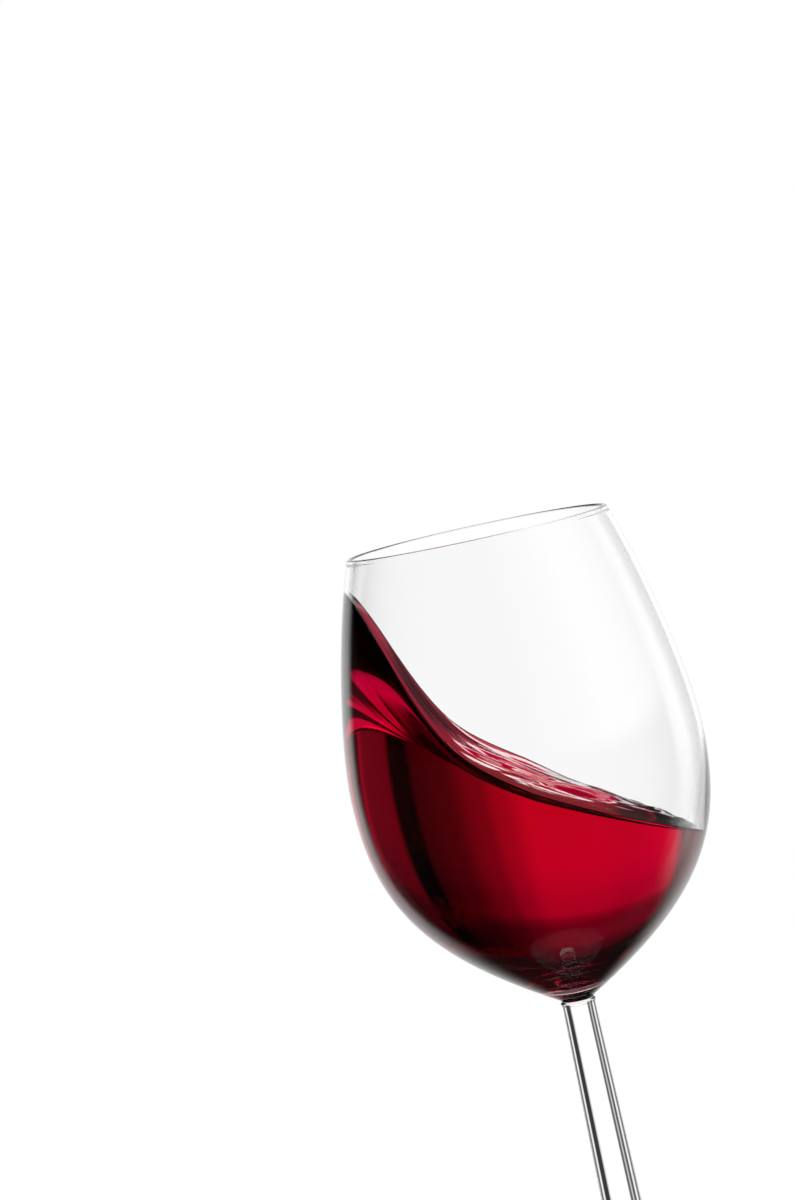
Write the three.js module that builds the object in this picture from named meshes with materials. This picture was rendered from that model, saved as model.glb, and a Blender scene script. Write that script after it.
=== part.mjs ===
// A stemmed glass of red wine, held at the moment when the wine swings up one side of the bowl.
// Millimetres, +Z up. The origin is the middle of the foot's underside.
// The high side of the wine is at -X, and the low side at +X.
import * as THREE from "three";

// Driving dimensions of the glass
const glassHeight = 215;
const bowlHeight = 117.5; // from the joint with the stem up to the lip
const bowlRadius = 44; // outside, at its widest
const widestHeight = 59.2; // above the joint
const rimRadius = 32.5; // outside, at the lip
const wallThickness = 1.2;
const bottomThickness = 6.2; // glass under the deepest point of the wine, down to the joint
const lipRadius = 0.65; // half the thickness of the rounded lip
const stemTopRadius = 4.15;
const stemTaper = 0.015; // radius gained for each millimetre down the stem
const collarProud = 0.25; // the ring where the bowl is welded to the stem
const collarHeight = 1.3; // from the stem up to the waist under the bowl
const footRadius = 39;
const footEdge = 1.1; // radius of the foot's rounded edge
const flareHeight = 30; // where the foot has run out into the stem
const footHollowRadius = 24; // the shallow hollow under the foot
const footHollowDepth = 0.9;

// Handles that give the curves of the glass their fullness
const cupFloor = 0.4; // reach of the flat floor of the cup, as a share of its radius
const innerFullness = 0.55; // reach below the widest ring, as a share of its height
const outerFullness = 0.45;
const weldSpread = { out: 29.9, up: 18.6 }; // how the bowl spreads from the weld
const shoulderReach = 15.2; // reach above the widest ring
const lipLean = { out: 5.1, down: 13.6 }; // how the wall leans in to the lip
const footSweep = { r: 18, z: 4.2 };
const stemSweep = { out: 0.5, z: 6 };
const hollowSweep = { top: 0.5, foot: 0.8 }; // shares of the hollow's radius

// Driving dimensions of the wine, in the bowl's own height above the joint
const waterline = 56.5; // height on the glass's axis of the sheet that meets the glass
const slope = 0.67; // fall for each millimetre towards +X
const slopeEase = 0.0026; // how the fall eases off, for each millimetre squared
const climb = 28.4; // extra height of the crest against the high side
const climbAt = -36; // X of that crest
const climbWidth = 12.3;
const backFall = 0.04; // fall for each millimetre towards +Y
const crestBackFall = 0.1; // more of it under the crest
const lowBackFall = 0.096; // more of it on the low side
const wallGap = 0.3; // between the wine and the glass

// How far the surface sinks away from the glass, with a share that grows towards -X
const sinkDepth = { least: 0.5, growing: 1.8 };
const sinkWidth = { least: 1.3, growing: 0.7 };
const sinkGrowth = 28; // millimetres of X over which that share grows to 2.7 times
const backSink = 0.6; // share of the depth that is lost at the back

// Long ripples on the far half: length, height, heading in radians, start
const ripples = [
  { length: 13, height: 0.75, heading: 0.24, start: 0.4 },
  { length: 10, height: 0.45, heading: -0.3, start: 2.1 },
];
const rippleMiddle = { x: 6, y: 17 };
const rippleReach = { x: 22, y: 17 };

const turns = 56; // facets round the glass and the wine
const wallRings = 13; // rings of the wine along the wall
const surfaceRings = 13; // rings of the wine across its surface
const curveSteps = 10; // points on each long curve of the profile
const shoulderSteps = 8;
const hollowSteps = 5;
const arcSteps = 4; // points on each small round edge
const halvings = 40; // how often the search for the contact line is halved

const bowlBase = glassHeight - bowlHeight;
const stemLength = bowlBase - flareHeight;

// A smooth curve of radius and height with its two handles
function bend(from, handleA, handleB, to) {
  const points = [from, handleA, handleB, to].map(([r, z]) => new THREE.Vector2(r, z));
  return new THREE.CubicBezierCurve(...points);
}

// Points of a round edge of the given radius about a centre, from one angle to another
function arc(centreR, centreZ, radius, startAngle, endAngle) {
  const points = [];
  for (let i = 0; i <= arcSteps; i += 1) {
    const angle = THREE.MathUtils.lerp(startAngle, endAngle, i / arcSteps);
    const r = centreR + radius * Math.cos(angle);
    const z = centreZ + radius * Math.sin(angle);
    points.push(new THREE.Vector2(r, z));
  }
  return points;
}

// The inside of the bowl: the cup from the axis up to the widest ring, and the shoulder up to the lip
const widest = bowlBase + widestHeight;
const innerRadius = bowlRadius - wallThickness;
const innerFloor = bowlBase + bottomThickness;
const lipCentreR = rimRadius - lipRadius;
const lipCentreZ = glassHeight - lipRadius;
const innerLipR = lipCentreR - wallThickness / 2;
const outerLipR = lipCentreR + wallThickness / 2;
const innerCup = bend(
  [0, innerFloor],
  [cupFloor * innerRadius, innerFloor],
  [innerRadius, widest - innerFullness * widestHeight],
  [innerRadius, widest],
);
const innerShoulder = bend(
  [innerRadius, widest],
  [innerRadius, widest + shoulderReach],
  [innerLipR + lipLean.out, lipCentreZ - lipLean.down],
  [innerLipR, lipCentreZ],
);

// The outside of the bowl, from the weld with the stem to the lip
const outerCup = bend(
  [stemTopRadius, bowlBase],
  [stemTopRadius + weldSpread.out, bowlBase + weldSpread.up],
  [bowlRadius, widest - outerFullness * widestHeight],
  [bowlRadius, widest],
);
const outerShoulder = bend(
  [bowlRadius, widest],
  [bowlRadius, widest + shoulderReach],
  [outerLipR + lipLean.out, lipCentreZ - lipLean.down],
  [outerLipR, lipCentreZ],
);

// The foot's upper side, sweeping from its edge into the stem, and the hollow under it
const stemFootRadius = stemTopRadius + stemTaper * stemLength;
const footTop = bend(
  [footRadius - footEdge, 2 * footEdge],
  [footSweep.r, footSweep.z],
  [stemFootRadius + stemSweep.out, stemSweep.z],
  [stemFootRadius, flareHeight],
);
const footHollow = bend(
  [0, footHollowDepth],
  [hollowSweep.top * footHollowRadius, footHollowDepth],
  [hollowSweep.foot * footHollowRadius, 0],
  [footHollowRadius, 0],
);

// Half section of the glass: from the axis under the foot, up the outside, over the lip and down the inside
function glassProfile() {
  const collarRadius = stemTopRadius + collarProud;
  const waist = bowlBase - collarHeight / 4;
  const collarTop = waist - collarHeight / 3;
  return [
    ...footHollow.getPoints(hollowSteps),
    ...arc(footRadius - footEdge, footEdge, footEdge, -Math.PI / 2, Math.PI / 2),
    ...footTop.getPoints(curveSteps).slice(1),
    new THREE.Vector2(stemTopRadius, waist - collarHeight),
    new THREE.Vector2(collarRadius, collarTop - collarHeight / 3),
    new THREE.Vector2(collarRadius, collarTop),
    new THREE.Vector2(stemTopRadius - collarProud, waist),
    ...outerCup.getPoints(curveSteps),
    ...outerShoulder.getPoints(shoulderSteps).slice(1, -1),
    ...arc(lipCentreR, lipCentreZ, lipRadius, 0, Math.PI),
    ...innerShoulder.getPoints(shoulderSteps).slice(1, -1).reverse(),
    ...innerCup.getPoints(curveSteps).reverse(),
  ];
}

function makeGlass() {
  const geometry = new THREE.LatheGeometry(glassProfile(), turns);
  geometry.rotateX(Math.PI / 2); // the lathe's upright axis is Y
  return geometry;
}

// A point of the bowl's inner wall, from 0 at the bottom of the cup to 2 at the lip, moved in by the gap
function innerWall(place) {
  const curve = place < 1 ? innerCup : innerShoulder;
  const along = place < 1 ? place : place - 1;
  const point = curve.getPoint(along);
  const tangent = curve.getTangent(along);
  return { r: Math.max(point.x - wallGap * tangent.y, 0), z: point.y + wallGap * tangent.x };
}

// Height of the ripples: long waves that fade out away from the middle of the far half
function rippleHeight(x, y) {
  const awayX = (x - rippleMiddle.x) / rippleReach.x;
  const awayY = (y - rippleMiddle.y) / rippleReach.y;
  let height = 0;
  for (const ripple of ripples) {
    const across = y * Math.cos(ripple.heading) + x * Math.sin(ripple.heading);
    height += ripple.height * Math.sin((2 * Math.PI * across) / ripple.length + ripple.start);
  }
  return height * Math.exp(-awayX * awayX - awayY * awayY);
}

// Height of the sheet that meets the glass: a slope that eases towards +X, with a rounded crest at -X
function waveHeight(x, y) {
  const crest = Math.exp(-(((x - climbAt) / climbWidth) ** 2));
  const fall = backFall + crestBackFall * crest + (lowBackFall * Math.max(x, 0)) / bowlRadius;
  const level = waterline - slope * x + slopeEase * x * x + climb * crest - fall * y;
  return bowlBase + level + rippleHeight(x, y);
}

// How far the surface has sunk below that sheet at a distance from the wall, as a hollow curve
function sink(x, y, fromWall) {
  const growth = Math.exp(-x / sinkGrowth);
  const atBack = 1 - (backSink * Math.max(y, 0)) / bowlRadius;
  const depth = atBack * (sinkDepth.least + sinkDepth.growing * growth);
  const width = sinkWidth.least + sinkWidth.growing * growth;
  return depth * (1 - Math.exp(-fromWall / width));
}

// Place on the inner wall where the wine's surface meets it in one direction, found by halving
function contactPlace(angle) {
  let low = 0;
  let high = 2;
  for (let i = 0; i < halvings; i += 1) {
    const middle = (low + high) / 2;
    const { r, z } = innerWall(middle);
    if (z < waveHeight(r * Math.cos(angle), r * Math.sin(angle))) low = middle;
    else high = middle;
  }
  return low;
}

// The wine's points: a pole, rings up the wall, rings in across the surface, and a pole on top
function winePoints() {
  const bottom = innerWall(0);
  const points = [0, 0, bottom.z];
  const angles = [];
  for (let i = 0; i < turns; i += 1) angles.push((2 * Math.PI * i) / turns);
  const places = angles.map(contactPlace);
  for (let ring = 1; ring <= wallRings; ring += 1) {
    angles.forEach((angle, i) => {
      const { r, z } = innerWall((places[i] * ring) / wallRings);
      points.push(r * Math.cos(angle), r * Math.sin(angle), z);
    });
  }
  for (let ring = surfaceRings - 1; ring > 0; ring -= 1) {
    angles.forEach((angle, i) => {
      const edge = innerWall(places[i]).r;
      const r = edge * Math.sqrt(ring / surfaceRings);
      const x = r * Math.cos(angle);
      const y = r * Math.sin(angle);
      points.push(x, y, waveHeight(x, y) - sink(x, y, edge - r));
    });
  }
  points.push(0, 0, waveHeight(0, 0) - sink(0, 0, innerRadius));
  return points;
}

// The wine as one closed body: a fan at each pole, and two triangles for each step of the rings between
function makeWine() {
  const points = winePoints();
  const rings = wallRings + surfaceRings - 1;
  const topRing = 1 + (rings - 1) * turns;
  const topPole = points.length / 3 - 1;
  const faces = [];
  for (let i = 0; i < turns; i += 1) {
    const next = (i + 1) % turns;
    faces.push(0, 1 + next, 1 + i);
    for (let ring = 0; ring < rings - 1; ring += 1) {
      const a = 1 + ring * turns + i;
      const b = 1 + ring * turns + next;
      faces.push(a, b, b + turns, a, b + turns, a + turns);
    }
    faces.push(topRing + i, topRing + next, topPole);
  }
  const geometry = new THREE.BufferGeometry();
  geometry.setAttribute("position", new THREE.Float32BufferAttribute(points, 3));
  geometry.setIndex(faces);
  geometry.computeVertexNormals();
  return geometry;
}

const clearGlass = new THREE.MeshStandardMaterial({
  color: 0xf1f4f3,
  roughness: 0.03,
  metalness: 0,
  transparent: true,
  opacity: 0.35,
  side: THREE.DoubleSide,
});
const redWine = new THREE.MeshStandardMaterial({ color: 0x7a0019, roughness: 0.05, metalness: 0 });

const glassOfWine = new THREE.Group();

const glass = new THREE.Mesh(makeGlass(), clearGlass);
glass.name = "wine_glass";
glassOfWine.add(glass);

const wine = new THREE.Mesh(makeWine(), redWine);
wine.name = "red_wine";
glassOfWine.add(wine);

export default glassOfWine;
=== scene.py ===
import math
from functools import partial

import bpy
import numpy as np
from mathutils import Matrix, Vector


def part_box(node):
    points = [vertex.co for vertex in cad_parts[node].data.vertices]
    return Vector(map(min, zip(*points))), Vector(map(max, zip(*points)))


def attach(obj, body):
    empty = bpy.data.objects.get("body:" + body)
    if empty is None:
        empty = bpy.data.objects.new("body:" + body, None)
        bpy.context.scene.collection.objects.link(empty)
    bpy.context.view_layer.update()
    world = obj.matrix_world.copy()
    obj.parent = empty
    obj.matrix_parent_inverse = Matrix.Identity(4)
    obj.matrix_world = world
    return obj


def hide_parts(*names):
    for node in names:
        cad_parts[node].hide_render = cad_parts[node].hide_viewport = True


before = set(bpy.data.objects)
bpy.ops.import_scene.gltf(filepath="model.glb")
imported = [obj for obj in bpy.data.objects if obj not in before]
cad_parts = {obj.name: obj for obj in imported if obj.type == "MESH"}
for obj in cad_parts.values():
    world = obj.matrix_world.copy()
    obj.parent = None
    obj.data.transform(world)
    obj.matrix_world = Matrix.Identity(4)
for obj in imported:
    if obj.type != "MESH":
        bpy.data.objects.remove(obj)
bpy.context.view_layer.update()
scene = bpy.context.scene
mm = 0.001
print("frame loaded")

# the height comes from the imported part, and the rest of the section from these sizes in millimetres
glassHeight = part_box("wine_glass")[1].z / mm

cameraSetup = {
    "place": (0.0, -681.3, 251.5),  # millimetres
    "turn": 1.875,  # degrees to the left of straight ahead
    "tilt": -4.09,
    "roll": 12.4,
    "lens": 84.0,
}


def makeCamera(setup):
    # looks along +Y, turned, tilted and then rolled about its own line of sight
    turn, tilt, roll = (math.radians(setup[key]) for key in ("turn", "tilt", "roll"))
    ahead = Vector((-math.sin(turn) * math.cos(tilt), math.cos(turn) * math.cos(tilt), math.sin(tilt)))
    level = ahead.cross(Vector((0, 0, 1))).normalized()
    upright = level.cross(ahead)
    side = level * math.cos(roll) - upright * math.sin(roll)
    up = upright * math.cos(roll) + level * math.sin(roll)
    data = bpy.data.cameras.new("photoCamera")
    data.lens = setup["lens"]
    data.sensor_width = 36
    data.sensor_fit = "AUTO"
    data.clip_start = 0.01
    camera = bpy.data.objects.new("photoCamera", data)
    scene.collection.objects.link(camera)
    turned = Matrix((side, up, -ahead)).transposed().to_4x4()
    camera.matrix_world = Matrix.Translation(Vector(setup["place"]) * mm) @ turned
    return camera


scene.camera = makeCamera(cameraSetup)
print("camera placed")


# a smooth curve of radius and height, the cubic with two ends and two handles, at n + 1 even steps
def bend(start, handleA, handleB, end, n):
    t = np.linspace(0, 1, n + 1)[:, None]
    a, b, c, d = (np.array(p, float) for p in (start, handleA, handleB, end))
    return (1 - t) ** 3 * a + 3 * (1 - t) ** 2 * t * b + 3 * (1 - t) * t**2 * c + t**3 * d


# points of a circle's arc about a centre, from one angle to another in radians
def arc(centreR, centreZ, radius, begin, finish, n):
    angle = np.linspace(begin, finish, n + 1)
    return np.stack([centreR + radius * np.cos(angle), centreZ + radius * np.sin(angle)], 1)


glassShape = {
    "bowlHeight": 117.5,
    "bowlRadius": 44.0,
    "widestHeight": 59.2,
    "rimRadius": 32.5,
    "wall": 1.2,
    "bottom": 6.2,
    "lip": 0.65,
    "stemTop": 4.15,
    "stemTaper": 0.015,
    "collarProud": 0.25,
    "collarHeight": 1.3,
    "collarTurn": 0.9,  # radians up and down that its rounded edge turns
    # handles that give the curves their fullness
    "cupFloor": 0.4,
    "innerFullness": 0.55,
    "outerFullness": 0.45,
    "weldSpread": (29.9, 18.6),
    "shoulderReach": 15.2,
    "lipLean": (5.1, 13.6),
    "footSweep": (18.0, 4.2),
    "stemSweep": (0.5, 6.0),
    "hollowSweep": (0.5, 0.8),
    "waistSweep": (0.6, 0.1),
    "footRadius": 39.0,
    "footEdge": 1.1,
    "flareHeight": 30.0,
    "hollowRadius": 24.0,
    "hollowDepth": 0.9,
    "turns": 192,
}
bowlBase = glassHeight - glassShape["bowlHeight"]
widest = bowlBase + glassShape["widestHeight"]
lipR = glassShape["rimRadius"] - glassShape["lip"]
lipZ = glassHeight - glassShape["lip"]


# one side of the wall from the widest ring up to the lip
def shoulderCurve(startR, endR, n):
    g = glassShape
    lean, down = g["lipLean"]
    handles = (startR, widest + g["shoulderReach"]), (endR + lean, lipZ - down)
    return bend((startR, widest), *handles, (endR, lipZ), n)


# the inside of the bowl from the axis up to the lip, as a cup and a shoulder
def innerCurves(n):
    g = glassShape
    inner = g["bowlRadius"] - g["wall"]
    low = bowlBase + g["bottom"]
    under = widest - g["innerFullness"] * g["widestHeight"]
    cup = bend((0, low), (g["cupFloor"] * inner, low), (inner, under), (inner, widest), n)
    return cup, shoulderCurve(inner, lipR - g["wall"] / 2, n)


# half section of the glass: from the axis under the foot, up the outside, over the lip and down the inside
def glassSection():
    g = glassShape
    stem, proud, belly = g["stemTop"], g["collarProud"], g["bowlRadius"]
    stemFoot = stem + g["stemTaper"] * (bowlBase - g["flareHeight"])
    waist = bowlBase - g["collarHeight"] / 4
    collarMiddle = waist - g["collarHeight"] / 2
    collarRound = g["collarHeight"] / 3
    hollow, depth = g["hollowRadius"], g["hollowDepth"]
    edgeR = g["footRadius"] - g["footEdge"]
    spread, rise = g["weldSpread"]
    inSweep, outSweep = g["hollowSweep"]
    waistIn, waistDown = g["waistSweep"]
    pinch = (stem - proud, waist)
    under = widest - g["outerFullness"] * g["widestHeight"]
    cup, shoulder = innerCurves(60)
    pieces = [
        bend((0, depth), (inSweep * hollow, depth), (outSweep * hollow, 0), (hollow, 0), 16),
        np.linspace((hollow, 0), (edgeR, 0), 9)[1:-1],
        arc(edgeR, g["footEdge"], g["footEdge"], -math.pi / 2, math.pi / 2, 14),
        bend(
            (edgeR, 2 * g["footEdge"]),
            g["footSweep"],
            (stemFoot + g["stemSweep"][0], g["stemSweep"][1]),
            (stemFoot, g["flareHeight"]),
            60,
        )[1:],
        np.linspace((stemFoot, g["flareHeight"]), (stem, waist - g["collarHeight"]), 20)[1:],
        arc(stem + proud - collarRound, collarMiddle, collarRound, -g["collarTurn"], g["collarTurn"], 6),
        bend((stem - waistIn * proud, waist - waistDown), pinch, pinch, (stem, bowlBase), 6),
        bend((stem, bowlBase), (stem + spread, bowlBase + rise), (belly, under), (belly, widest), 60)[1:],
        shoulderCurve(belly, lipR + g["wall"] / 2, 44)[1:-1],
        arc(lipR, lipZ, g["lip"], 0, math.pi, 14),
        shoulder[1:-1][::-1],
        cup[::-1],
    ]
    return np.vstack(pieces)


# a closed surface from rings of points in millimetres, indexed by ring, turn and axis, with a point at
# each pole, and four-sided faces from each ring to the next
def closedSurface(name, rings, lowPole, highPole):
    ringCount, turnCount = rings.shape[:2]
    points = np.vstack([[lowPole], rings.reshape(-1, 3), [highPole]]) * mm
    turn = np.arange(turnCount)
    after = (turn + 1) % turnCount
    ring = 1 + np.arange(ringCount - 1)[:, None] * turnCount
    quads = np.stack([ring + turn, ring + after, ring + turnCount + after, ring + turnCount + turn], -1)
    last = 1 + (ringCount - 1) * turnCount
    lowFan = np.stack([0 * turn, 1 + after, 1 + turn], -1)
    highFan = np.stack([0 * turn + len(points) - 1, last + turn, last + after], -1)
    faces = quads.reshape(-1, 4).tolist() + lowFan.tolist() + highFan.tolist()
    mesh = bpy.data.meshes.new(name)
    mesh.from_pydata(points.tolist(), [], faces)
    mesh.polygons.foreach_set("use_smooth", np.ones(len(mesh.polygons), bool))
    mesh.validate()
    piece = bpy.data.objects.new(name, mesh)
    scene.collection.objects.link(piece)
    return piece


# the half section carried round the axis: x = r cos a, y = r sin a
def makeGlass():
    section = glassSection()
    angle = np.linspace(0, 2 * math.pi, glassShape["turns"], endpoint=False)
    r, z = section[1:-1, 0:1], section[1:-1, 1:2]
    rings = np.stack([r * np.cos(angle), r * np.sin(angle), z + 0 * angle], -1)
    lowPole = (0, 0, section[0, 1])
    highPole = (0, 0, section[-1, 1])
    return closedSurface("glass_body", rings, lowPole, highPole)


glass = makeGlass()
print("glass made")

waveShape = {
    "level": 56.5,  # height on the axis of the sheet that meets the glass, above the joint with the stem
    "slope": 0.67,
    "ease": 0.0026,
    "climb": 28.4,
    "climbAt": -36.0,
    "climbWidth": 12.3,
    "backFall": 0.04,
    "crestBackFall": 0.1,
    "lowBackFall": 0.096,
    # how far the surface sinks away from the glass, and over what width:
    # a least value, and a part that grows to -X
    "sink": (0.5, 1.8),
    "sinkWidth": (1.3, 0.7),
    "sinkGrowth": 28.0,
    "backSink": 0.6,  # share of it that is lost at the back
    "intoWall": 0.15,  # how far the wine reaches into the glass, so that no air shows between them
    "turns": 192,
    "wallRings": 90,
    "topRings": 150,
    "topSpacing": 0.7,  # under 1, so that the rings are closest by the glass
    "wallSteps": 400,
    "halvings": 40,  # for finding where the surface meets the glass
}
# length, height, heading in radians and start of each train of ripples
rippleTrains = [(13, 0.75, 0.24, 0.4), (10, 0.45, -0.3, 2.1)]
fineTrains = [(6.5, 0.3, 0.12, 1.0), (4.2, 0.13, -0.16, 0.3)]
rippleMiddle = (6.0, 17.0)
rippleReach = (22.0, 17.0)


# sine waves that fade out away from the middle of the far half
def rippleHeight(x, y):
    along, away = (x - rippleMiddle[0]) / rippleReach[0], (y - rippleMiddle[1]) / rippleReach[1]
    fade = np.exp(-(along**2) - away**2)
    height = 0
    for length, tall, heading, start in rippleTrains + fineTrains:
        across = y * math.cos(heading) + x * math.sin(heading)
        height = height + tall * np.sin(2 * math.pi * across / length + start)
    return fade * height


# a slope that eases towards +X, with a rounded crest against the high side
def waveHeight(x, y):
    w = waveShape
    crest = np.exp(-(((x - w["climbAt"]) / w["climbWidth"]) ** 2))
    lowSide = np.maximum(x, 0) / glassShape["bowlRadius"]
    fall = w["backFall"] + w["crestBackFall"] * crest + w["lowBackFall"] * lowSide
    level = w["level"] - w["slope"] * x + w["ease"] * x * x + w["climb"] * crest - fall * y
    return bowlBase + level + rippleHeight(x, y)


# how far the surface has sunk at a distance from the glass: depth times one minus a falling exponential
def sink(x, y, fromWall):
    w = waveShape
    growth = np.exp(-x / w["sinkGrowth"])
    depth = w["sink"][0] + w["sink"][1] * growth
    width = w["sinkWidth"][0] + w["sinkWidth"][1] * growth
    depth = depth * (1 - w["backSink"] * np.maximum(y, 0) / glassShape["bowlRadius"])
    return depth * (1 - np.exp(-fromWall / width))


# the inner wall, moved outwards into the glass; returns radius and height for a place from 0 to 1 along it
def wineWall():
    cup, shoulder = innerCurves(waveShape["wallSteps"])
    line = np.vstack([cup, shoulder[1:]])
    along = np.gradient(line, axis=0)
    along /= np.linalg.norm(along, axis=1)[:, None]
    line = line + waveShape["intoWall"] * np.stack([along[:, 1], -along[:, 0]], 1)
    line[0, 0] = 0
    step = np.concatenate([[0], np.cumsum(np.linalg.norm(np.diff(line, axis=0), axis=1))])
    place = step / step[-1]
    return lambda s: (np.interp(s, place, line[:, 0]), np.interp(s, place, line[:, 1]))


# rings up the wall as far as the surface in each direction, then rings in across the surface
def makeWine():
    w = waveShape
    wall = wineWall()
    angle = np.linspace(0, 2 * math.pi, w["turns"], endpoint=False)
    low, high = np.zeros_like(angle), np.ones_like(angle)
    for _ in range(w["halvings"]):
        middle = (low + high) / 2
        r, z = wall(middle)
        under = z < waveHeight(r * np.cos(angle), r * np.sin(angle))
        low, high = np.where(under, middle, low), np.where(under, high, middle)
    up = (np.arange(1, w["wallRings"] + 1) / w["wallRings"])[:, None]
    r, z = wall(up * low)
    wallPoints = np.stack([r * np.cos(angle), r * np.sin(angle), z], -1)
    edge = wall(low)[0]
    inward = (np.arange(w["topRings"] - 1, 0, -1) / w["topRings"])[:, None] ** w["topSpacing"]
    r = edge * inward
    x, y = r * np.cos(angle), r * np.sin(angle)
    topPoints = np.stack([x, y, waveHeight(x, y) - sink(x, y, edge - r)], -1)
    lowPole = (0, 0, wall(0.0)[1])
    highPole = (0, 0, topPoints[-1, :, 2].mean())
    return closedSurface("wine_wave", np.vstack([wallPoints, topPoints]), lowPole, highPole)


wine = makeWine()
print("wine made")


glossShape = {
    "speckSize": 180,
    "speckDetail": 3,
    "speckRange": (0.45, 0.75),
    "bumpHeight": 0.0004,
}


# faint unevenness of a polished or liquid surface: large soft waves in the normal, specks in the roughness
def makeGlossGroup(shape):
    group = bpy.data.node_groups.new("softGloss", "ShaderNodeTree")
    face = group.interface
    for label in ("Wave size", "Wave depth", "Rough"):
        face.new_socket(name=label, in_out="INPUT", socket_type="NodeSocketFloat")
    face.new_socket(name="Roughness", in_out="OUTPUT", socket_type="NodeSocketFloat")
    face.new_socket(name="Normal", in_out="OUTPUT", socket_type="NodeSocketVector")
    nodes, links = group.nodes, group.links
    given = nodes.new("NodeGroupInput")
    out = nodes.new("NodeGroupOutput")
    place = nodes.new("ShaderNodeTexCoord")
    wave = nodes.new("ShaderNodeTexNoise")
    speck = nodes.new("ShaderNodeTexNoise")
    speck.inputs["Scale"].default_value = shape["speckSize"]
    speck.inputs["Detail"].default_value = shape["speckDetail"]
    bump = nodes.new("ShaderNodeBump")
    bump.inputs["Distance"].default_value = shape["bumpHeight"]
    spread = nodes.new("ShaderNodeMapRange")
    spread.inputs["From Min"].default_value, spread.inputs["From Max"].default_value = shape["speckRange"]
    spread.inputs["To Min"].default_value = 0
    links.new(place.outputs["Object"], wave.inputs["Vector"])
    links.new(place.outputs["Object"], speck.inputs["Vector"])
    links.new(given.outputs["Wave size"], wave.inputs["Scale"])
    links.new(wave.outputs["Fac"], bump.inputs["Height"])
    links.new(given.outputs["Wave depth"], bump.inputs["Strength"])
    links.new(speck.outputs["Fac"], spread.inputs["Value"])
    links.new(given.outputs["Rough"], spread.inputs["To Max"])
    links.new(spread.outputs["Result"], out.inputs["Roughness"])
    links.new(bump.outputs["Normal"], out.inputs["Normal"])
    return group


glossGroup = makeGlossGroup(glossShape)
clearGlassLook = {
    "ior": 1.5,
    "waveSize": 30,
    "waveDepth": 0.03,
    "rough": 0.012,
    "skin": (1.0, 1.0, 1.0),
    "tint": (0.9, 0.93, 0.92),
    "density": 4.0,  # for each metre that light crosses
}
redWineLook = {
    "ior": 1.345,
    "waveSize": 45,
    "waveDepth": 0.05,
    "rough": 0.01,
    "skin": (1.0, 0.45, 0.42),  # makes thin wine red and not violet
    "tint": (0.98, 0.43, 0.88),
    "density": 350.0,
}


# a clear body: refraction and a tint at its skin, and a tint that grows with the depth that light crosses:
# each colour falls off as an exponential of depth times density times one minus that colour
def clearBody(name, look):
    material = bpy.data.materials.new(name)
    material.use_nodes = True
    nodes, links = material.node_tree.nodes, material.node_tree.links
    shader = nodes["Principled BSDF"]
    shader.inputs["Base Color"].default_value = (*look["skin"], 1)
    shader.inputs["Transmission Weight"].default_value = 1.0
    shader.inputs["Metallic"].default_value = 0.0
    shader.inputs["IOR"].default_value = look["ior"]
    gloss = nodes.new("ShaderNodeGroup")
    gloss.node_tree = glossGroup
    gloss.inputs["Wave size"].default_value = look["waveSize"]
    gloss.inputs["Wave depth"].default_value = look["waveDepth"]
    gloss.inputs["Rough"].default_value = look["rough"]
    links.new(gloss.outputs["Roughness"], shader.inputs["Roughness"])
    links.new(gloss.outputs["Normal"], shader.inputs["Normal"])
    depth = nodes.new("ShaderNodeVolumeAbsorption")
    depth.inputs["Color"].default_value = (*look["tint"], 1)
    depth.inputs["Density"].default_value = look["density"]
    links.new(depth.outputs["Volume"], nodes["Material Output"].inputs["Volume"])
    return material


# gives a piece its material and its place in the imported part
def finishPiece(piece, material, node):
    piece.data.materials.append(material)
    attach(piece, "root")
    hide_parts(node)


finishPiece(glass, clearBody("clearGlass", clearGlassLook), "wine_glass")
finishPiece(wine, clearBody("redWine", redWineLook), "red_wine")
print("materials set")

# the count of surfaces that a ray has crossed tells what it went through: solid glass up to the first of
# these, two thin walls up to the second, and wine past that
solidCrossed, wallsCrossed = 2.5, 4.5


# sets a socket to a number, or joins another node's output to it
def put(tree, socket, value):
    if isinstance(value, (int, float)):
        socket.default_value = value
    else:
        tree.links.new(value, socket)


# adds one math node to a tree and returns what it puts out
def mathNode(tree, kind, *values):
    node = tree.nodes.new("ShaderNodeMath")
    node.operation = kind
    for socket, value in zip(node.inputs, values):
        put(tree, socket, value)
    return node.outputs[0]


# 1 near an object's middle and 0 from the end outwards, with a smooth step as wide as the fade between them
def fadeOut(tree, end, fade):
    place = tree.nodes.new("ShaderNodeTexCoord")
    far = tree.nodes.new("ShaderNodeVectorMath")
    far.operation = "LENGTH"
    node = tree.nodes.new("ShaderNodeMapRange")
    node.interpolation_type = "SMOOTHSTEP"
    for label, number in (("From Min", end - fade), ("From Max", end), ("To Min", 1), ("To Max", 0)):
        node.inputs[label].default_value = number
    tree.links.new(place.outputs["Object"], far.inputs[0])
    tree.links.new(far.outputs["Value"], node.inputs["Value"])
    return node.outputs["Result"]


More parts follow.
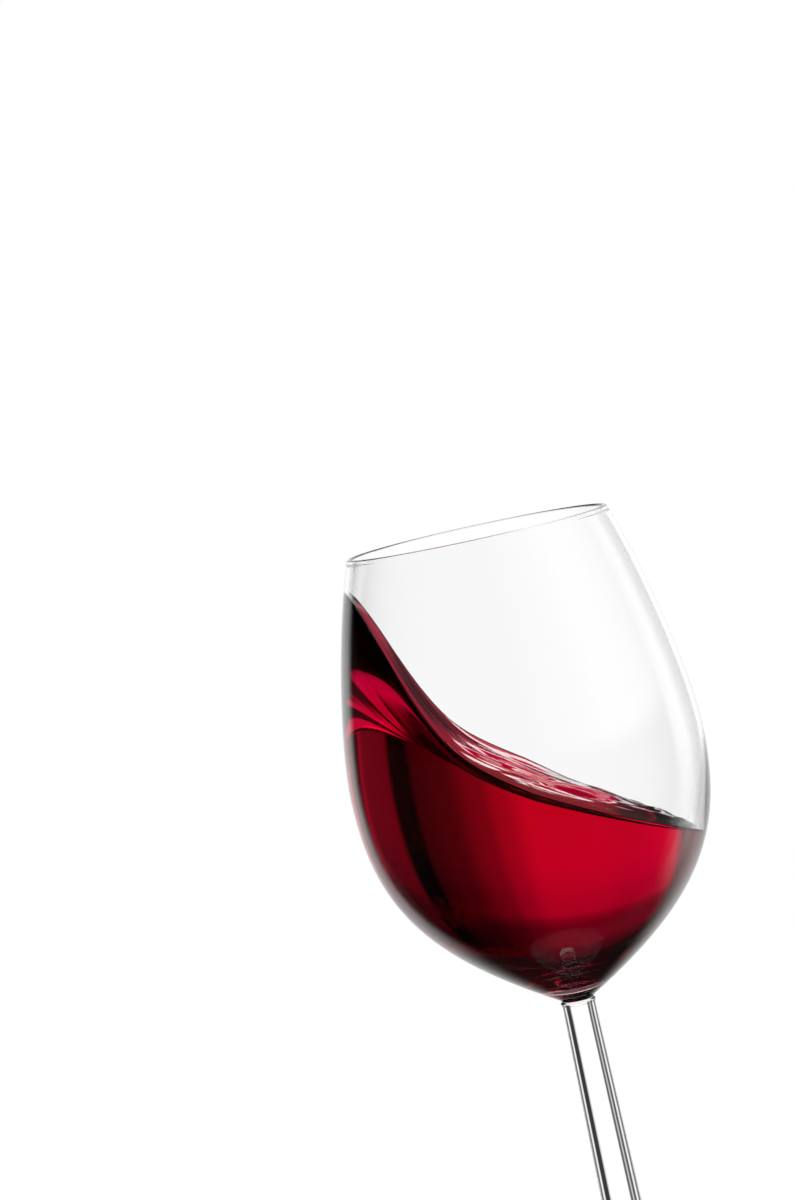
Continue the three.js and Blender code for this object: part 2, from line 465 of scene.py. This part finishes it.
# a flat round sheet at a height, whole or with a round hole: x = r cos a, y = r sin a
def makeSheet(name, height, inside, outside, turns=96):
    angle = np.linspace(0, 2 * math.pi, turns, endpoint=False)
    circle = np.stack([np.cos(angle), np.sin(angle), 0 * angle], 1)
    turn = np.arange(turns)
    after = (turn + 1) % turns
    if inside:
        points = np.vstack([circle * inside, circle * outside])
        faces = np.stack([turn, after, turns + after, turns + turn], 1)
    else:
        points = circle * outside
        faces = turn[None, :]
    mesh = bpy.data.meshes.new(name)
    mesh.from_pydata(points.tolist(), [], faces.tolist())
    sheet = bpy.data.objects.new(name, mesh)
    scene.collection.objects.link(sheet)
    sheet.location.z = height
    material = bpy.data.materials.new(name)
    material.use_nodes = True
    mesh.materials.append(material)
    return sheet, material.node_tree


# sizes of the table and the reflector are in metres
floorShape = {
    "height": -0.0002,
    "radius": 0.55,
    "fade": 0.25,
    "underFoot": 0.1,  # how far the table is seen through the foot
    "underFade": 0.03,
    "brightness": 0.9,
    "rough": 0.6,
}


# a pale round table top that fades out at its edge, so that no line shows against the white
def makeFloor(shape):
    floor, tree = makeSheet("table", shape["height"], 0, shape["radius"])
    nodes = tree.nodes
    calc = partial(mathNode, tree)
    shader = nodes["Principled BSDF"]
    shader.inputs["Base Color"].default_value = (*[shape["brightness"]] * 3, 1)
    shader.inputs["Roughness"].default_value = shape["rough"]
    # seen directly, through thin walls, and near by through the foot; mirrors and the wine see the studio
    path = nodes.new("ShaderNodeLightPath")
    crossed = path.outputs["Transmission Depth"]
    pastSolid = calc("GREATER_THAN", crossed, solidCrossed)
    throughWalls = calc("MULTIPLY", pastSolid, calc("LESS_THAN", crossed, wallsCrossed))
    direct = calc("ADD", calc("LESS_THAN", crossed, 0.5), throughWalls)
    direct = calc("MULTIPLY", direct, fadeOut(tree, shape["radius"], shape["fade"]))
    near = fadeOut(tree, shape["underFoot"], shape["underFade"])
    throughSolid = calc("MULTIPLY", calc("GREATER_THAN", crossed, 1.5), calc("SUBTRACT", 1, pastSolid))
    shown = calc("MAXIMUM", direct, calc("MULTIPLY", throughSolid, near))
    shown = calc("MULTIPLY", shown, calc("LESS_THAN", path.outputs["Glossy Depth"], 0.5))
    tree.links.new(shown, shader.inputs["Alpha"])
    floor.visible_glossy = False


makeFloor(floorShape)

reflectorShape = {
    "height": 0.045,
    "inside": 0.012,
    "outside": 0.5,
    "fade": 0.2,
    "brightness": 0.85,
}


# a white sheet over the table that only mirrored light from below sees, so that the foot looks pale
def makeReflector(shape):
    sheet, tree = makeSheet("reflector", shape["height"], shape["inside"], shape["outside"])
    nodes, links = tree.nodes, tree.links
    nodes.clear()
    calc = partial(mathNode, tree)
    path = nodes.new("ShaderNodeLightPath")
    side = nodes.new("ShaderNodeNewGeometry")
    shown = calc("GREATER_THAN", path.outputs["Glossy Depth"], 0.5)
    shown = calc("MULTIPLY", shown, calc("SUBTRACT", 1, side.outputs["Backfacing"]))
    shown = calc("MULTIPLY", shown, fadeOut(tree, shape["outside"], shape["fade"]))
    clear = nodes.new("ShaderNodeBsdfTransparent")
    glow = nodes.new("ShaderNodeEmission")
    glow.inputs["Strength"].default_value = shape["brightness"]
    mix = nodes.new("ShaderNodeMixShader")
    out = nodes.new("ShaderNodeOutputMaterial")
    links.new(shown, mix.inputs[0])
    links.new(clear.outputs[0], mix.inputs[1])
    links.new(glow.outputs[0], mix.inputs[2])
    links.new(mix.outputs[0], out.inputs["Surface"])
    sheet.visible_camera = False
    sheet.visible_diffuse = False
    sheet.visible_shadow = False


makeReflector(reflectorShape)

# the studio's light, as pairs of an angle in degrees and a brightness; bearings are to the left of +Y
studioLight = {
    # seen through the wine, and repeated at each quarter turn
    "panelBearing": [
        (-45, 0.6), (-40, 0.27), (-29, 0.24), (-26.5, 0), (-22, 0), (-20, 0.07), (-14, 0.13), (-8, 0.38),
        (-5, 0.7), (-1, 1.12), (8, 1.12), (14, 1.05), (28, 1.2), (34, 0.15), (42, 0.12), (45, 0.4),
    ],
    "panelHeight": [
        (-90, 0.5), (-55, 0.6), (-45, 0.65), (-30, 0.65), (-22, 0.45), (-12, 1), (4, 1), (9, 0.9),
        (12, 0.75), (16, 0.68), (19, 0.35), (21, 0.24), (27, 0.25), (34, 0.12), (60, 0.1), (90, 0.1),
    ],
    # heights climb to the left of a bearing by the lean, in degrees for each degree of bearing
    "lean": 0.22,
    "leanFrom": 10,
    # seen through the solid glass of the stem, and repeated at each quarter turn
    "stemBearing": [
        (-45, 1), (-42, 1), (-38, 0.05), (-26, 0.04), (-22, 0.8), (-19, 1.1), (19, 1.1), (22, 0.15),
        (25, 0.12), (29, 0.7), (33, 0.15), (38, 0.08), (42, 1), (45, 1),
    ],
    # seen from well above, the stem's panels give way to plain white, by this share
    "stemHeight": [(-90, 1), (-23, 1), (-19, 0), (90, 0)],
    "stemWhite": 0.95,
    # mirrored by the outside of the glass, all the way round
    "mirrorBearing": [
        (-180, 0.01), (-85, 0.02), (-74, 0.2), (-66, 1.3), (-56, 1.6), (-45, 1.1), (0, 1), (34, 1),
        (46, 0.02), (100, 0.01), (180, 0.01),
    ],
    "mirrorHeight": [(-90, 0.01), (-48, 0.02), (-24, 0.8), (0, 1), (28, 0.9), (42, 0.03), (90, 0.03)],
    # above the horizon its heights sink to the left, in degrees for each degree of bearing
    "mirrorLean": 0.8,
    "mirrorLeanStarts": 10,  # degrees over which the lean comes in
    # the same, for the upper right of the empty bowl
    "openBearing": [(-180, 0), (-150, 0.3), (-110, 0.9), (-60, 0.9), (-50, 0.2), (-40, 0), (180, 0)],
    "openHeight": [(-90, 0), (-3, 0), (4, 1), (90, 1)],
    # mirrored inside the bowl: a dim room, and lights as a bearing ramp times a height ramp
    "room": 0.02,
    "insideLights": {
        "high": (
            [(-180, 0), (-65, 0), (-55, 2.6), (5, 2.6), (15, 0), (180, 0)],
            [(-90, 0), (28, 0), (31, 1), (39, 1), (43, 0), (90, 0)],
        ),
        "low": (
            [(-180, 0), (-50, 0), (-44, 1), (-15, 1), (-11, 0.06), (2, 0.06), (6, 0), (180, 0)],
            [(-90, 0), (-40, 0), (-32, 1), (-19, 1), (-17, 0), (90, 0)],
        ),
        "back": (
            [(-180, 0), (-34, 0), (-28, 3.2), (8, 3.2), (20, 1), (34, 0), (180, 0)],
            [(-90, 0), (-10, 0), (-7, 0.005), (8, 0.005), (11, 1), (16, 1), (19, 0), (90, 0)],
        ),
        "end": (
            [(-180, 0), (-46, 0), (-38, 1.3), (-19, 1.3), (-15, 0), (180, 0)],
            [(-90, 0), (-24, 0), (-18, 1), (-6, 1), (-3, 0), (90, 0)],
        ),
    },
    # light that the table sends up through the wine
    "tableHeight": [(-90, 1), (-22, 1), (-12, 0), (90, 0)],
    "tableTint": (1.0, 0.35, 0.42),
    "clear": 1.1,  # behind the thin walls
    "soft": 1.25,  # on the table
}


# one world whose brightness depends on a ray's direction and on what it went through or was mirrored by
def makeStudio(light):
    world = bpy.data.worlds.new("studio")
    scene.world = world
    world.use_nodes = True
    tree = world.node_tree
    nodes, links = tree.nodes, tree.links
    nodes.clear()
    calc = partial(mathNode, tree)

    # the first value where the factor is 0 and the second where it is 1
    def choose(factor, no, yes):
        node = nodes.new("ShaderNodeMix")
        node.data_type = "FLOAT"
        for index, value in ((0, factor), (2, no), (3, yes)):
            put(tree, node.inputs[index], value)
        return node.outputs[0]

    # a ramp that eases from each pair of an angle and a brightness to the next
    def ramp(angle, pairs):
        first, last = pairs[0][0], pairs[-1][0]
        top = max(value for _, value in pairs)
        node = nodes.new("ShaderNodeValToRGB")
        node.color_ramp.interpolation = "EASE"
        elements = node.color_ramp.elements
        while len(elements) < len(pairs):
            elements.new(0.5)
        for element, (at, value) in zip(elements, pairs):
            element.position = (at - first) / (last - first)
            element.color = (*[value / top] * 3, 1)
        links.new(calc("DIVIDE", calc("SUBTRACT", angle, first), last - first), node.inputs["Fac"])
        return calc("MULTIPLY", node.outputs["Color"], top)

    # a ramp over bearings times a ramp over heights
    def patch(bearings, bearingPairs, heights, heightPairs):
        return calc("MULTIPLY", ramp(bearings, bearingPairs), ramp(heights, heightPairs))

    place = nodes.new("ShaderNodeTexCoord")
    split = nodes.new("ShaderNodeSeparateXYZ")
    links.new(place.outputs["Generated"], split.inputs["Vector"])
    # the bearing all the way round for mirrored light, and within the nearest quarter turn for the panels
    around = calc("DEGREES", calc("ARCTAN2", calc("MULTIPLY", split.outputs["X"], -1), split.outputs["Y"]))
    bearing = calc("WRAP", around, 45, -45)
    lift = calc("DEGREES", calc("ARCSINE", split.outputs["Z"]))
    lean = calc("MULTIPLY", calc("SUBTRACT", bearing, light["leanFrom"]), light["lean"])
    panels = patch(bearing, light["panelBearing"], calc("SUBTRACT", lift, lean), light["panelHeight"])
    above = calc("MINIMUM", calc("MAXIMUM", calc("DIVIDE", lift, light["mirrorLeanStarts"]), 0), 1)
    toLeft = calc("MULTIPLY", calc("MAXIMUM", around, 0), above)
    raised = calc("ADD", lift, calc("MULTIPLY", toLeft, light["mirrorLean"]))
    mirrored = patch(around, light["mirrorBearing"], raised, light["mirrorHeight"])
    mirrored = calc("MAXIMUM", mirrored, patch(around, light["openBearing"], lift, light["openHeight"]))
    inside = light["room"]
    for bearingPairs, heightPairs in light["insideLights"].values():
        inside = calc("ADD", inside, patch(around, bearingPairs, lift, heightPairs))

    # thin walls show the backdrop's plain white, the solid stem has panels of its own, and the wine the others
    path = nodes.new("ShaderNodeLightPath")
    crossed = path.outputs["Transmission Depth"]
    behind = choose(calc("LESS_THAN", crossed, wallsCrossed), panels, light["clear"])
    solid = choose(ramp(lift, light["stemHeight"]), ramp(bearing, light["stemBearing"]), light["stemWhite"])
    behind = choose(calc("LESS_THAN", crossed, solidCrossed), behind, solid)
    mirrored = choose(calc("GREATER_THAN", crossed, solidCrossed), mirrored, inside)
    unmirrored = calc("LESS_THAN", path.outputs["Glossy Depth"], 0.5)
    behind = choose(unmirrored, mirrored, behind)
    strength = choose(path.outputs["Is Glossy Ray"], light["soft"], mirrored)
    strength = choose(path.outputs["Is Transmission Ray"], strength, behind)
    strength = choose(path.outputs["Is Camera Ray"], strength, 1.0)
    wineRay = calc("MULTIPLY", calc("GREATER_THAN", crossed, wallsCrossed), unmirrored)
    tint = nodes.new("ShaderNodeMix")
    tint.data_type = "RGBA"
    tint.inputs[6].default_value = (1, 1, 1, 1)
    tint.inputs[7].default_value = (*light["tableTint"], 1)
    links.new(calc("MULTIPLY", wineRay, ramp(lift, light["tableHeight"])), tint.inputs[0])
    background = nodes.new("ShaderNodeBackground")
    links.new(tint.outputs[2], background.inputs["Color"])
    links.new(strength, background.inputs["Strength"])
    out = nodes.new("ShaderNodeOutputWorld")
    links.new(background.outputs["Background"], out.inputs["Surface"])


makeStudio(studioLight)

scene.view_settings.view_transform = "Standard"
scene.view_settings.look = "None"
scene.cycles.use_denoising = True
scene.cycles.max_bounces = 32
scene.cycles.transmission_bounces = 32
scene.cycles.glossy_bounces = 8
scene.cycles.diffuse_bounces = 3
scene.cycles.transparent_max_bounces = 8
scene.cycles.volume_bounces = 0
scene.cycles.caustics_refractive = True
scene.cycles.caustics_reflective = True
scene.cycles.sample_clamp_indirect = 8
print("studio set")
